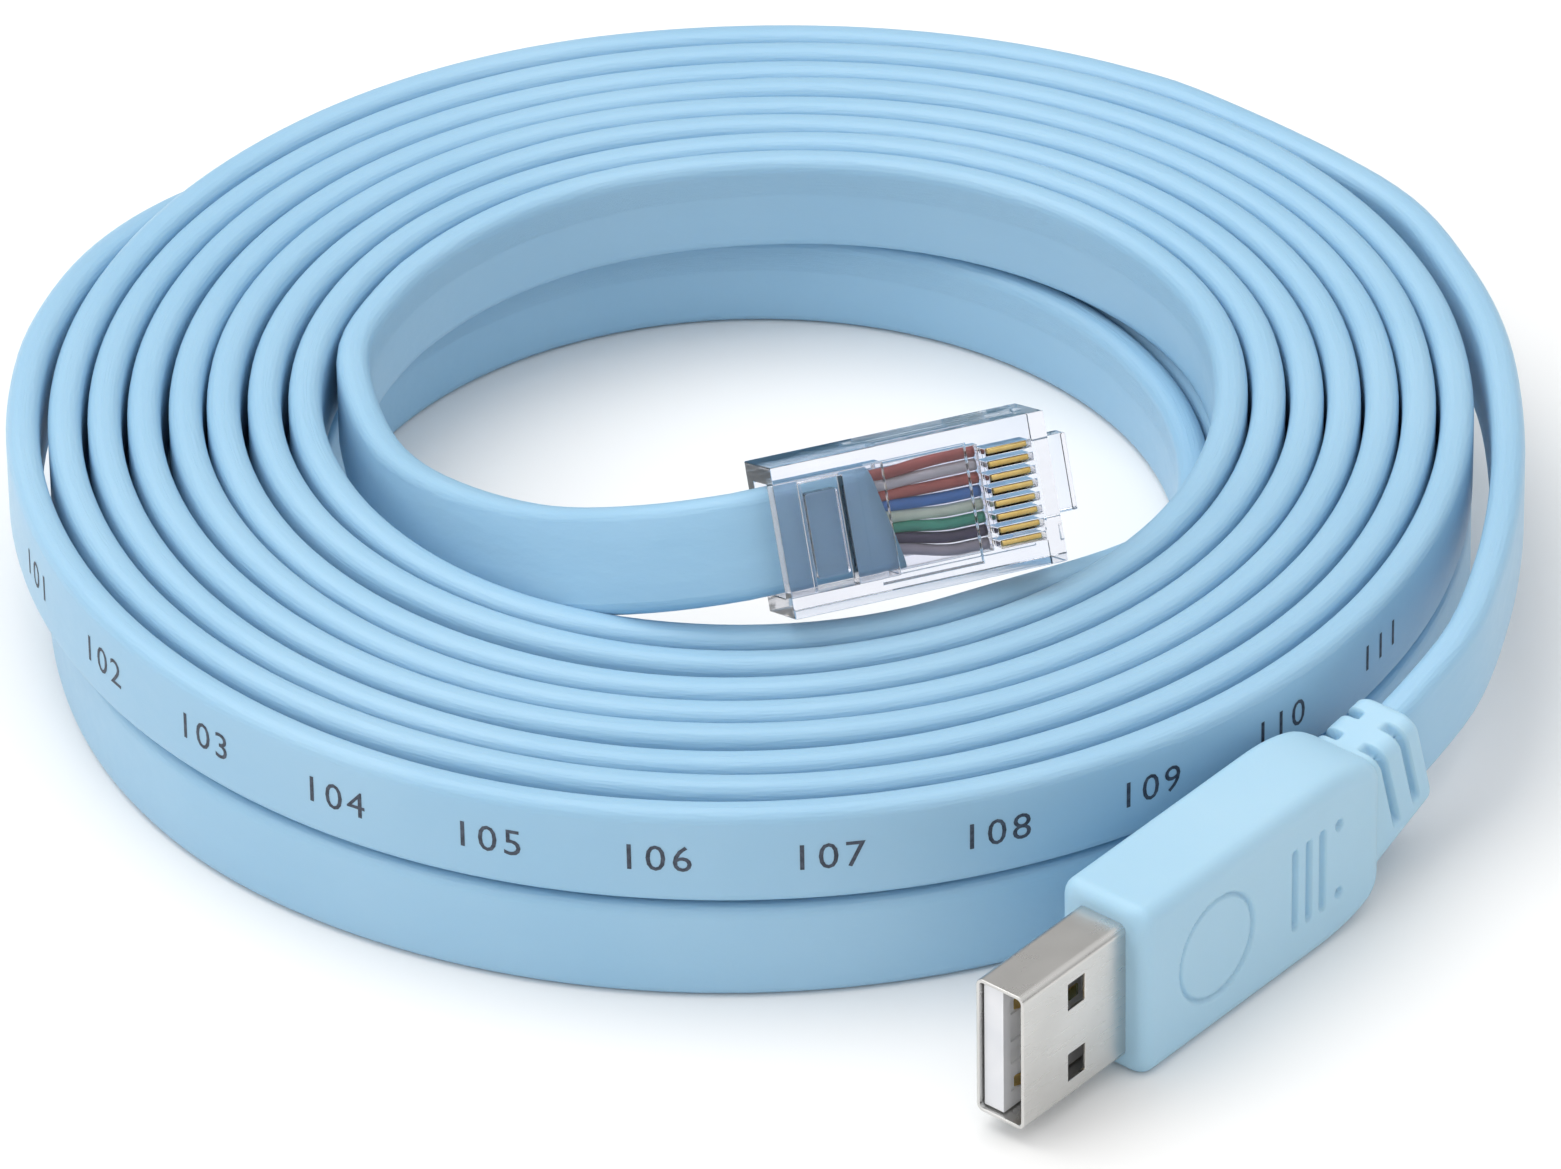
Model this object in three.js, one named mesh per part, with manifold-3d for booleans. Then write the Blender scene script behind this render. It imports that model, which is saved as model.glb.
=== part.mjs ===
// A console cable: a flat eight-wire cable wound on its edge into a two-tier coil, with a
// USB-A plug on its outer end and a clear RJ45 plug on its inner end.
// Units are millimetres, +Z is up, and the floor is at Z = 0.
import * as THREE from "three";
import { mergeVertices } from "three/addons/utils/BufferGeometryUtils.js";
import Module from "manifold-3d";

const wasm = await Module();
wasm.setup();
const radians = THREE.MathUtils.degToRad;

// Flat cable
const CABLE_WIDTH = 8.2;
const CABLE_THICKNESS = 2.6;
const CABLE_EDGE_RADIUS = 0.8;

// Coil: two tiers of turns that stand on edge, one tier on the other
const COIL_OUTER_RADIUS = 57;
const TURN_PITCH = 2.95;
const TURNS_ACROSS = 8;
const TIERS = 2;
const TIER_GAP = 0.15;
const TURN_GROOVE_DEPTH = 0.9;
const COIL_SEGMENTS = 48;

// Clearances
const FACE_GAP = 0.3;
const SLIDE_GAP = 0.15;

// USB-A plug: X runs from the tip to the cable, the broad faces look along Y
const USB_AZIMUTH = 49.6;
const USB_TIP_AZIMUTH = -75.9;
const USB_TIP_FROM_COIL = 19.6;
const SHELL_HEIGHT = 12;
const SHELL_THICKNESS = 4.5;
const SHELL_WALL = 0.3;
const SHELL_EXPOSED = 11.9;
const SHELL_SEATED = 5;
const SHELL_CORNER_RADIUS = 0.6;
const WINDOW_LENGTH = 2;
const WINDOW_HEIGHT = 2.45;
const WINDOW_FROM_TIP = 6.2;
const WINDOW_SPACING = 6.4;
const TONGUE_SIDE_GAP = 0.15;
const TONGUE_THICKNESS = 1.85;
const TONGUE_RECESS = 0.4;
const USB_CONTACT_PLACES = [-3.5, -1, 1, 3.5];
const USB_CONTACT_WIDTH = 1;
const USB_CONTACT_LENGTH = 7.4;
const USB_CONTACT_THICKNESS = 0.25;
const USB_CONTACT_RECESS = 1.1;

// USB overmould with its strain relief, one moulding
const OVERMOULD_HEIGHT = 15;
const OVERMOULD_THICKNESS = 8.2;
const OVERMOULD_STRAIGHT = 21;
const OVERMOULD_NOSE = 7.2;
const OVERMOULD_NOSE_HEIGHT = 9;
const OVERMOULD_NOSE_FULLNESS = 0.7;
const OVERMOULD_EDGE_RADIUS = 1.3;
const OVERMOULD_CORNER_RADIUS = 1.8;
const GRIP_GROOVES = 3;
const GRIP_GROOVE_SPACING = 1.65;
const GRIP_GROOVE_FROM_TIP = 29.5;
const GRIP_GROOVE_HEIGHT = 7;
const GRIP_GROOVE_WIDTH = 0.6;
const GRIP_GROOVE_DEPTH = 0.4;
const RELIEF_LENGTH = 7.6;
const RELIEF_RISE_ANGLE = 15;
const RELIEF_ROOT_HEIGHT = 10.4;
const RELIEF_END_HEIGHT = 9;
const RELIEF_THICKNESS = 5.6;
const RELIEF_EDGE_RADIUS = 0.9;
const RELIEF_SLOTS = 2;
const RELIEF_SLOT_WIDTH = 0.9;
const RELIEF_SLOT_PITCH = 2.6;
const RELIEF_SLOT_FROM_END = 1.7;
const RELIEF_SLOT_DEPTH = 1.2;
const RELIEF_SPINE = 2.4;
const RELIEF_ROOT_SUNK = 2.4;

// RJ45 plug: X runs from the rear to the nose, the contact side looks along -Y, Z is its width
const RJ45_AZIMUTH = 19.7;
const RJ45_LEAN = 27;
const RJ45_REAR_AZIMUTH = -85.6;
const RJ45_REAR_INSIDE_COIL = 4;
const RJ45_REAR_ABOVE_TIER = 10.4;
const RJ45_LENGTH = 22;
const RJ45_WIDTH = 11.68;
const RJ45_THICKNESS = 6.6;
const CONTACTS = 8;
const CONTACT_PITCH = 1.02;
const CONTACT_THICKNESS = 0.35;
const CONTACT_LENGTH = 3.3;
const CONTACT_HEIGHT = 3.2;
const CONTACT_FROM_NOSE = 1.6;
const CONTACT_RECESS = 0.35;
const CONTACT_SIDE_GAP = 0.12;
const WIRE_DIAMETER = 0.86;
const WIRE_SIDES = 10;
const JACKET_SEATED = 9;
const BORE_CLEARANCE = 0.35;
const POCKET_FROM_REAR = 3.6;
const POCKET_LENGTH = 3.6;
const POCKET_WIDTH = 6.6;
const POCKET_DEPTH = 1.2;
const LATCH_WIDTH = 6;
const LATCH_THICKNESS = 1.1;
const LATCH_LENGTH = 15;
const LATCH_ANGLE = 13;
const LATCH_STANDS_OUT = 2.2;
const LATCH_ROOT_LENGTH = 4;

// Fineness of the round forms
const MERGE_TOLERANCE = 1e-5;
const OUTLINE_SEGMENTS = 4;
const OVERMOULD_EDGE_SEGMENTS = 3;
const RELIEF_EDGE_SEGMENTS = 2;
const SHELL_CORNER_SEGMENTS = 3;
const CABLE_EDGE_SEGMENTS = 2;
const LEAD_STEP = 5;

// Worked out from the sizes above
const coilHeight = TIERS * CABLE_WIDTH + (TIERS - 1) * TIER_GAP;
const coilInnerRadius = COIL_OUTER_RADIUS - TURNS_ACROSS * TURN_PITCH;
const topTierMiddle = coilHeight - CABLE_WIDTH / 2;
const overmouldFront = SHELL_EXPOSED;
const noseStart = overmouldFront + OVERMOULD_STRAIGHT;
const overmouldEnd = noseStart + OVERMOULD_NOSE;
const usbMiddle = OVERMOULD_HEIGHT / 2;
const tongueHeight = SHELL_HEIGHT - 2 * (SHELL_WALL + TONGUE_SIDE_GAP);

// Routes of the two stretches that aren't coiled, as places that the cable's middle line passes.
// A place is its azimuth around the coil in degrees, its distance out from the coil's wall, and
// its height above the middle of the top tier. The USB lead is placed from the outer wall, and
// the RJ45 lead from the inner one.
const LEAD_STRAIGHT = 2.5;
const USB_LEAD_PLACES = [
  [-29.7, 5.8, -0.85],
  [-21.9, 4.55, -0.15],
  [-12.5, 3.2, 0],
  [-2.9, 2.4, 0],
  [7.8, 2.25, 0],
  [17.6, 2.1, 0],
  [28.4, 1.9, 0],
];
const RJ45_LEAD_PLACES = [
  [162.6, -2, 0],
  [179, -4.1, 0.05],
  [196.7, -5.5, 0.55],
  [216.4, -6.3, 2.35],
  [238.3, -5.7, 5.05],
  [256.5, -3.9, 8.45],
];

const fromWall = (wallRadius) => ([azimuth, outward, lift]) => {
  const turn = radians(azimuth);
  const radius = wallRadius + outward;
  return [radius * Math.cos(turn), radius * Math.sin(turn), topTierMiddle + lift];
};
const fromOuterWall = fromWall(COIL_OUTER_RADIUS);
const fromInnerWall = fromWall(coilInnerRadius);
const [usbTipX, usbTipY] = fromOuterWall([USB_TIP_AZIMUTH, USB_TIP_FROM_COIL, 0]);
const [rj45RearX, rj45RearY, rj45RearZ] = fromInnerWall(
  [RJ45_REAR_AZIMUTH, -RJ45_REAR_INSIDE_COIL, RJ45_REAR_ABOVE_TIER],
);

// A point on the middle line of the USB strain relief, in the object's frame
function reliefPoint(distance) {
  const along = overmouldEnd + distance * Math.cos(radians(RELIEF_RISE_ANGLE));
  const turn = radians(USB_AZIMUTH);
  return [
    usbTipX + along * Math.cos(turn),
    usbTipY + along * Math.sin(turn),
    usbMiddle + distance * Math.sin(radians(RELIEF_RISE_ANGLE)),
  ];
}

// A point inside the RJ45 plug, on its middle line, in the object's frame
function rj45Point(distance) {
  const turn = radians(RJ45_AZIMUTH);
  return [
    rj45RearX + distance * Math.cos(turn),
    rj45RearY + distance * Math.sin(turn),
    rj45RearZ,
  ];
}

function solid(geometry) {
  const bare = geometry.clone();
  bare.deleteAttribute("normal");
  bare.deleteAttribute("uv");
  const merged = mergeVertices(bare, MERGE_TOLERANCE);
  const vertProperties = new Float32Array(merged.attributes.position.array);
  const triVerts = new Uint32Array(merged.index.array);
  return new wasm.Manifold(new wasm.Mesh({ numProp: 3, vertProperties, triVerts }));
}

function geometryOf(manifold) {
  const { vertProperties, triVerts } = manifold.getMesh();
  const geometry = new THREE.BufferGeometry();
  geometry.setAttribute("position", new THREE.BufferAttribute(vertProperties, 3));
  geometry.setIndex(new THREE.BufferAttribute(triVerts, 1));
  return geometry;
}

// A block between two corners
function block(low, high) {
  const size = high.map((value, axis) => value - low[axis]);
  const box = new THREE.BoxGeometry(...size);
  box.translate(...high.map((value, axis) => (value + low[axis]) / 2));
  return box;
}

// A rounded rectangle around the origin
function roundedRectangle(width, height, radius) {
  const [w, h, quarter] = [width / 2 - radius, height / 2 - radius, Math.PI / 2];
  const shape = new THREE.Shape();
  shape.absarc(w, h, radius, 0, quarter);
  shape.absarc(-w, h, radius, quarter, 2 * quarter);
  shape.absarc(-w, -h, radius, 2 * quarter, 3 * quarter);
  shape.absarc(w, -h, radius, 3 * quarter, 4 * quarter);
  shape.closePath();
  return shape;
}

// An outline in X and Z, extruded along Y about the middle, with rounded edges
function moulded(shape, thickness, edgeRadius, segments) {
  const geometry = new THREE.ExtrudeGeometry(shape, {
    depth: thickness - 2 * edgeRadius,
    bevelThickness: edgeRadius,
    bevelSize: edgeRadius,
    bevelOffset: -edgeRadius,
    bevelSegments: segments,
    curveSegments: OUTLINE_SEGMENTS,
  });
  geometry.translate(0, 0, edgeRadius - thickness / 2);
  geometry.rotateX(Math.PI / 2);
  return geometry;
}

function mesh(name, geometry, material) {
  const piece = new THREE.Mesh(geometry, material());
  piece.name = name;
  return piece;
}

// Each piece gets a material of its own
const finish = (color, roughness, metalness = 0) => () =>
  new THREE.MeshStandardMaterial({ color, roughness, metalness });
const cableBlue = finish(0xa5cae4, 0.45);
const overmouldBlue = finish(0xaacde6, 0.5);
const shellSteel = finish(0xc9c6c0, 0.25, 1);
const contactGold = finish(0xc9a24a, 0.3, 1);
const tongueWhite = finish(0xe6e8ec, 0.5);
const WIRE_COLOURS = [0x8a4a48, 0xb9b4b4, 0x8f4f4a, 0x3f6ea8, 0xc4d0bd, 0x3f8f7c, 0x3f3a52, 0x8f8490];

function clearPlastic() {
  return new THREE.MeshStandardMaterial({
    color: 0xdfe0ec, roughness: 0.1, metalness: 0, transparent: true, opacity: 0.4,
  });
}

// The outline across one end of the coil: each turn's flat top, with a groove before the next
function coilEnd(level, outward) {
  const points = [];
  for (let turn = 0; turn < TURNS_ACROSS; turn += 1) {
    const inner = coilInnerRadius + turn * TURN_PITCH;
    const edge = (TURN_PITCH - CABLE_THICKNESS) / 2 + CABLE_EDGE_RADIUS;
    if (turn > 0) {
      points.push(new THREE.Vector2(inner, level - outward * TURN_GROOVE_DEPTH));
    }
    points.push(new THREE.Vector2(inner + edge, level));
    points.push(new THREE.Vector2(inner + TURN_PITCH - edge, level));
  }
  return points;
}

// The grooves between the tiers on one wall of the coil, from the floor up
function tierGrooves(radius, inward) {
  const points = [];
  for (let tier = 1; tier < TIERS; tier += 1) {
    const middle = tier * (CABLE_WIDTH + TIER_GAP) - TIER_GAP / 2;
    points.push(new THREE.Vector2(radius, middle - CABLE_EDGE_RADIUS));
    points.push(new THREE.Vector2(radius + inward * CABLE_EDGE_RADIUS, middle));
    points.push(new THREE.Vector2(radius, middle + CABLE_EDGE_RADIUS));
  }
  return points;
}

function coil() {
  const low = CABLE_EDGE_RADIUS;
  const high = coilHeight - CABLE_EDGE_RADIUS;
  const profile = [
    new THREE.Vector2(coilInnerRadius, low),
    ...coilEnd(0, -1),
    new THREE.Vector2(COIL_OUTER_RADIUS, low),
    ...tierGrooves(COIL_OUTER_RADIUS, -1),
    new THREE.Vector2(COIL_OUTER_RADIUS, high),
    ...coilEnd(coilHeight, 1).reverse(),
    new THREE.Vector2(coilInnerRadius, high),
    ...tierGrooves(coilInnerRadius, 1).reverse(),
    new THREE.Vector2(coilInnerRadius, low),
  ];
  const ring = new THREE.LatheGeometry(profile, COIL_SEGMENTS);
  ring.rotateX(Math.PI / 2);
  return mesh("cable_coil", geometryOf(solid(ring)), cableBlue);
}

// A route whose ribbon stands on edge, leaning by an angle that grows from its start to its end
class RibbonRoute extends THREE.CatmullRomCurve3 {
  constructor(points, startLean, endLean) {
    super(points.map((point) => new THREE.Vector3(...point)), false, "centripetal");
    this.leans = [startLean, endLean];
  }

  computeFrenetFrames(steps) {
    const tangents = [];
    const normals = [];
    const binormals = [];
    for (let step = 0; step <= steps; step += 1) {
      const share = step / steps;
      const tangent = this.getTangentAt(share);
      const lean = radians(THREE.MathUtils.lerp(...this.leans, THREE.MathUtils.smoothstep(share, 0, 1)));
      const side = new THREE.Vector3(0, 0, 1).cross(tangent).normalize();
      const upright = tangent.clone().cross(side);
      tangents.push(tangent);
      normals.push(side.clone().multiplyScalar(Math.cos(lean)).addScaledVector(upright, -Math.sin(lean)));
      binormals.push(upright.multiplyScalar(Math.cos(lean)).addScaledVector(side, Math.sin(lean)));
    }
    return { tangents, normals, binormals };
  }
}

function lead(name, points, startLean, endLean) {
  const route = new RibbonRoute(points, startLean, endLean);
  const section = roundedRectangle(CABLE_THICKNESS, CABLE_WIDTH, CABLE_EDGE_RADIUS);
  const geometry = new THREE.ExtrudeGeometry(section, {
    extrudePath: route,
    steps: Math.round(route.getLength() / LEAD_STEP),
    curveSegments: CABLE_EDGE_SEGMENTS,
  });
  return mesh(name, geometry, cableBlue);
}

function usbLead() {
  const exits = [FACE_GAP, FACE_GAP + LEAD_STRAIGHT].map((gap) => reliefPoint(RELIEF_LENGTH + gap));
  return lead("usb_lead", [...exits, ...USB_LEAD_PLACES.map(fromOuterWall)], 0, 0);
}

function rj45Lead() {
  const ends = [-LEAD_STRAIGHT, 0, JACKET_SEATED / 2, JACKET_SEATED].map(rj45Point);
  return lead("rj45_lead", [...RJ45_LEAD_PLACES.map(fromInnerWall), ...ends], 0, RJ45_LEAN);
}

// A rectangular tube along X from x = start to x = end
function shellTube(start, end) {
  const outer = roundedRectangle(SHELL_HEIGHT, SHELL_THICKNESS, SHELL_CORNER_RADIUS);
  outer.holes.push(roundedRectangle(
    SHELL_HEIGHT - 2 * SHELL_WALL,
    SHELL_THICKNESS - 2 * SHELL_WALL,
    SHELL_CORNER_RADIUS - SHELL_WALL,
  ));
  const tube = new THREE.ExtrudeGeometry(outer, {
    depth: end - start, bevelEnabled: false, curveSegments: SHELL_CORNER_SEGMENTS,
  });
  tube.rotateY(Math.PI / 2);
  tube.translate(start, 0, usbMiddle);
  return tube;
}

function usbShell() {
  let tube = solid(shellTube(0, overmouldFront + SHELL_SEATED));
  for (const side of [-1, 1]) {
    const middle = usbMiddle + side * WINDOW_SPACING / 2;
    const hole = block(
      [WINDOW_FROM_TIP - WINDOW_LENGTH / 2, -SHELL_THICKNESS, middle - WINDOW_HEIGHT / 2],
      [WINDOW_FROM_TIP + WINDOW_LENGTH / 2, SHELL_THICKNESS, middle + WINDOW_HEIGHT / 2],
    );
    tube = tube.subtract(solid(hole));
  }
  return mesh("usb_shell", geometryOf(tube), shellSteel);
}

const tongueFar = SHELL_THICKNESS / 2 - SHELL_WALL - SLIDE_GAP;
const tongueNear = tongueFar - TONGUE_THICKNESS;
const tongueEnd = overmouldFront + SHELL_SEATED - SLIDE_GAP;

function usbTongue() {
  const body = block(
    [TONGUE_RECESS, tongueNear, usbMiddle - tongueHeight / 2],
    [tongueEnd, tongueFar, usbMiddle + tongueHeight / 2],
  );
  return mesh("usb_tongue", body, tongueWhite);
}

function usbContacts() {
  const start = TONGUE_RECESS + USB_CONTACT_RECESS;
  return USB_CONTACT_PLACES.map((place, index) => {
    const middle = usbMiddle + place;
    const strip = block(
      [start, tongueNear - USB_CONTACT_THICKNESS, middle - USB_CONTACT_WIDTH / 2],
      [start + USB_CONTACT_LENGTH, tongueNear, middle + USB_CONTACT_WIDTH / 2],
    );
    return mesh(`usb_contact_${index + 1}`, strip, contactGold);
  });
}

// The broad outline of the overmould: square at the plug, rounded like a bullet at the cable
function overmouldOutline() {
  const shape = new THREE.Shape();
  const half = OVERMOULD_HEIGHT / 2;
  const round = OVERMOULD_CORNER_RADIUS;
  const nose = OVERMOULD_NOSE_HEIGHT / 2;
  const fullness = noseStart + OVERMOULD_NOSE * OVERMOULD_NOSE_FULLNESS;
  shape.moveTo(overmouldFront, round - half);
  shape.quadraticCurveTo(overmouldFront, -half, overmouldFront + round, -half);
  shape.lineTo(noseStart, -half);
  shape.quadraticCurveTo(fullness, -half, overmouldEnd, -nose);
  shape.lineTo(overmouldEnd, nose);
  shape.quadraticCurveTo(fullness, half, noseStart, half);
  shape.lineTo(overmouldFront + round, half);
  shape.quadraticCurveTo(overmouldFront, half, overmouldFront, half - round);
  return shape;
}

// The strain relief lies along X from x = 0 at the overmould's end, before it is tilted
function reliefBody() {
  const start = -RELIEF_ROOT_SUNK;
  const outline = new THREE.Shape([
    new THREE.Vector2(start, -RELIEF_ROOT_HEIGHT / 2),
    new THREE.Vector2(RELIEF_LENGTH, -RELIEF_END_HEIGHT / 2),
    new THREE.Vector2(RELIEF_LENGTH, RELIEF_END_HEIGHT / 2),
    new THREE.Vector2(start, RELIEF_ROOT_HEIGHT / 2),
  ]);
  return moulded(outline, RELIEF_THICKNESS, RELIEF_EDGE_RADIUS, RELIEF_EDGE_SEGMENTS);
}

// Slots that leave a spine along the middle and the bottom of the relief
function reliefSlots() {
  const slots = [];
  const inside = RELIEF_THICKNESS / 2 - RELIEF_SLOT_DEPTH;
  for (let index = 0; index < RELIEF_SLOTS; index += 1) {
    const end = RELIEF_LENGTH - RELIEF_SLOT_FROM_END - index * RELIEF_SLOT_PITCH;
    for (const side of [-1, 1]) {
      const [near, far] = [side * inside, side * RELIEF_THICKNESS].sort((a, b) => a - b);
      slots.push(block(
        [end - RELIEF_SLOT_WIDTH, near, RELIEF_SPINE - RELIEF_END_HEIGHT / 2],
        [end, far, RELIEF_ROOT_HEIGHT],
      ));
    }
  }
  return slots;
}

function usbOvermould() {
  const body = moulded(
    overmouldOutline(), OVERMOULD_THICKNESS, OVERMOULD_EDGE_RADIUS, OVERMOULD_EDGE_SEGMENTS,
  );
  body.translate(0, 0, usbMiddle);
  let relief = solid(reliefBody());
  for (const slot of reliefSlots()) {
    relief = relief.subtract(solid(slot));
  }
  const tilted = geometryOf(relief);
  tilted.rotateY(-radians(RELIEF_RISE_ANGLE));
  tilted.translate(overmouldEnd, 0, usbMiddle);
  const seatReach = SHELL_THICKNESS / 2 + SLIDE_GAP;
  const seatRise = SHELL_HEIGHT / 2 + SLIDE_GAP;
  const seat = block(
    [overmouldFront - SHELL_SEATED, -seatReach, usbMiddle - seatRise],
    [overmouldFront + SHELL_SEATED + SLIDE_GAP, seatReach, usbMiddle + seatRise],
  );
  let moulding = solid(body).add(solid(tilted)).subtract(solid(seat));
  for (let index = 0; index < GRIP_GROOVES; index += 1) {
    const start = GRIP_GROOVE_FROM_TIP + index * GRIP_GROOVE_SPACING;
    for (const side of [-1, 1]) {
      const bottom = side * (OVERMOULD_THICKNESS / 2 - GRIP_GROOVE_DEPTH);
      const [near, far] = [bottom, side * OVERMOULD_THICKNESS].sort((a, b) => a - b);
      moulding = moulding.subtract(solid(block(
        [start, near, usbMiddle - GRIP_GROOVE_HEIGHT / 2],
        [start + GRIP_GROOVE_WIDTH, far, usbMiddle + GRIP_GROOVE_HEIGHT / 2],
      )));
    }
  }
  return mesh("usb_overmould", geometryOf(moulding), overmouldBlue);
}

function usbPlug() {
  const plug = new THREE.Group();
  plug.add(usbShell(), usbTongue(), ...usbContacts(), usbOvermould());
  plug.rotation.z = radians(USB_AZIMUTH);
  plug.position.set(usbTipX, usbTipY, 0);
  return plug;
}

// Places inside the RJ45 plug, with its rear face at x = 0 and its middle line on the X axis
const contactSide = -RJ45_THICKNESS / 2;
const contactStart = RJ45_LENGTH - CONTACT_FROM_NOSE - CONTACT_LENGTH;
const contactFloor = contactSide + CONTACT_RECESS + CONTACT_HEIGHT;
const boreWidth = CABLE_WIDTH + 2 * BORE_CLEARANCE;
const boreThickness = CABLE_THICKNESS + 2 * BORE_CLEARANCE;
const wireStart = JACKET_SEATED + FACE_GAP;
const wireEnd = contactStart - FACE_GAP - SLIDE_GAP;
const wireChannel = CONTACTS * CONTACT_PITCH;
const laneOf = (index) => ((CONTACTS - 1) / 2 - index) * CONTACT_PITCH;

// The latch: a root that stands out past the nose, and an arm that lifts away towards the rear
function rj45Latch() {
  const back = RJ45_THICKNESS / 2;
  const root = solid(block(
    [RJ45_LENGTH - LATCH_ROOT_LENGTH, back - LATCH_THICKNESS, -LATCH_WIDTH / 2],
    [RJ45_LENGTH + LATCH_STANDS_OUT, back + LATCH_THICKNESS, LATCH_WIDTH / 2],
  ));
  const arm = block([-LATCH_LENGTH, 0, -LATCH_WIDTH / 2], [0, LATCH_THICKNESS, LATCH_WIDTH / 2]);
  arm.rotateZ(-radians(LATCH_ANGLE));
  arm.translate(RJ45_LENGTH - LATCH_THICKNESS, back, 0);
  return root.add(solid(arm));
}

function rj45Body() {
  const [half, back] = [RJ45_WIDTH / 2, RJ45_THICKNESS / 2];
  let body = solid(block([0, contactSide, -half], [RJ45_LENGTH, back, half])).add(rj45Latch());
  const cuts = [
    block([-FACE_GAP, -boreThickness / 2, -boreWidth / 2], [wireStart, boreThickness / 2, boreWidth / 2]),
    block(
      [JACKET_SEATED, -WIRE_DIAMETER / 2 - SLIDE_GAP, -wireChannel / 2],
      [wireEnd + SLIDE_GAP, WIRE_DIAMETER / 2 + SLIDE_GAP, wireChannel / 2],
    ),
    block(
      [POCKET_FROM_REAR, contactSide - FACE_GAP, -POCKET_WIDTH / 2],
      [POCKET_FROM_REAR + POCKET_LENGTH, contactSide + POCKET_DEPTH, POCKET_WIDTH / 2],
    ),
  ];
  for (let index = 0; index < CONTACTS; index += 1) {
    const reach = CONTACT_THICKNESS / 2 + CONTACT_SIDE_GAP;
    cuts.push(block(
      [contactStart - CONTACT_SIDE_GAP, contactSide - FACE_GAP, laneOf(index) - reach],
      [
        contactStart + CONTACT_LENGTH + CONTACT_SIDE_GAP,
        contactFloor + CONTACT_SIDE_GAP,
        laneOf(index) + reach,
      ],
    ));
  }
  for (const cut of cuts) {
    body = body.subtract(solid(cut));
  }
  return mesh("rj45_body", geometryOf(body), clearPlastic);
}

function rj45Contacts() {
  return Array.from({ length: CONTACTS }, (_, index) => {
    const lane = laneOf(index);
    const blade = block(
      [contactStart, contactSide + CONTACT_RECESS, lane - CONTACT_THICKNESS / 2],
      [contactStart + CONTACT_LENGTH, contactFloor, lane + CONTACT_THICKNESS / 2],
    );
    return mesh(`rj45_contact_${index + 1}`, blade, contactGold);
  });
}

function rj45Wires() {
  const radius = WIRE_DIAMETER / 2;
  return WIRE_COLOURS.map((colour, index) => {
    const wire = new THREE.CylinderGeometry(radius, radius, wireEnd - wireStart, WIRE_SIDES);
    wire.rotateZ(Math.PI / 2);
    wire.translate((wireStart + wireEnd) / 2, 0, laneOf(index));
    return mesh(`rj45_wire_${index + 1}`, wire, finish(colour, 0.5));
  });
}

function rj45Plug() {
  const leaned = new THREE.Group();
  leaned.add(rj45Body(), ...rj45Contacts(), ...rj45Wires());
  leaned.rotation.x = -radians(RJ45_LEAN);
  const plug = new THREE.Group();
  plug.add(leaned);
  plug.rotation.z = radians(RJ45_AZIMUTH);
  plug.position.set(rj45RearX, rj45RearY, rj45RearZ);
  return plug;
}

const cable = new THREE.Group();
cable.add(coil(), usbLead(), rj45Lead(), usbPlug(), rj45Plug());

// The origin is the middle of the object's box, on the floor
cable.updateMatrixWorld(true);
const middle = new THREE.Box3().setFromObject(cable, true).getCenter(new THREE.Vector3());
cable.position.set(-middle.x, -middle.y, 0);

export default cable;
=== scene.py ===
"""The looks of a flat console cable with a USB-A plug and a clear RJ45 plug.

Sizes are in millimetres and are turned into metres where meshes are made. The lights are in
metres. Angles are in degrees.
"""
import math

import bpy
import numpy as np
from mathutils import Matrix, Vector


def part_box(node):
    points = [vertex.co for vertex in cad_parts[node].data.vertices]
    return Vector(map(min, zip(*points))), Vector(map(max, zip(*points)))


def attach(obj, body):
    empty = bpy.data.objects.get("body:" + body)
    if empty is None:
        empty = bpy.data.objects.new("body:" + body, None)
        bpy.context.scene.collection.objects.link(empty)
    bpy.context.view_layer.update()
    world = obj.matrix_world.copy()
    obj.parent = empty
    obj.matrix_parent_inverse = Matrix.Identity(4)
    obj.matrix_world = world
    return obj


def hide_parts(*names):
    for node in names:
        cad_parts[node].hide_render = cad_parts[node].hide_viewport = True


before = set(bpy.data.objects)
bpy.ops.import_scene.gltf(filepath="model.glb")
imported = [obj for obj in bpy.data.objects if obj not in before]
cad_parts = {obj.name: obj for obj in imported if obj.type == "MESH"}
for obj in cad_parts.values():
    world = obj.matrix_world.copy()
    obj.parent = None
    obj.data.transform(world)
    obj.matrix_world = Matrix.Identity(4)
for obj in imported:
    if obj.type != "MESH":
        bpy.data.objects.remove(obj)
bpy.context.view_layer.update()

MM = 0.001

# The coil's middle on the floor, in millimetres
coil_low, coil_high = (np.array(corner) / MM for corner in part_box("cable_coil"))
COIL_MIDDLE = np.array([(coil_low[0] + coil_high[0]) / 2, (coil_low[1] + coil_high[1]) / 2, 0.0])
COIL_RADIUS = (coil_high[0] - coil_low[0]) / 2
COIL_INNER_RADIUS = 33.4

# Camera, placed from the coil's middle
CAMERA_PLACE = (4.66, -885.4, 604.0)
CAMERA_DOWN = 34.355
CAMERA_TURN = 0.11
CAMERA_ROLL = -0.893
CAMERA_LENS = 316.3
CAMERA_SENSOR = 36

# Flat cable
CABLE_WIDTH = 8.2
CABLE_THICKNESS = 2.6
CABLE_EDGE_RADIUS = 1.05
CABLE_STEP = 1.9

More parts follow.
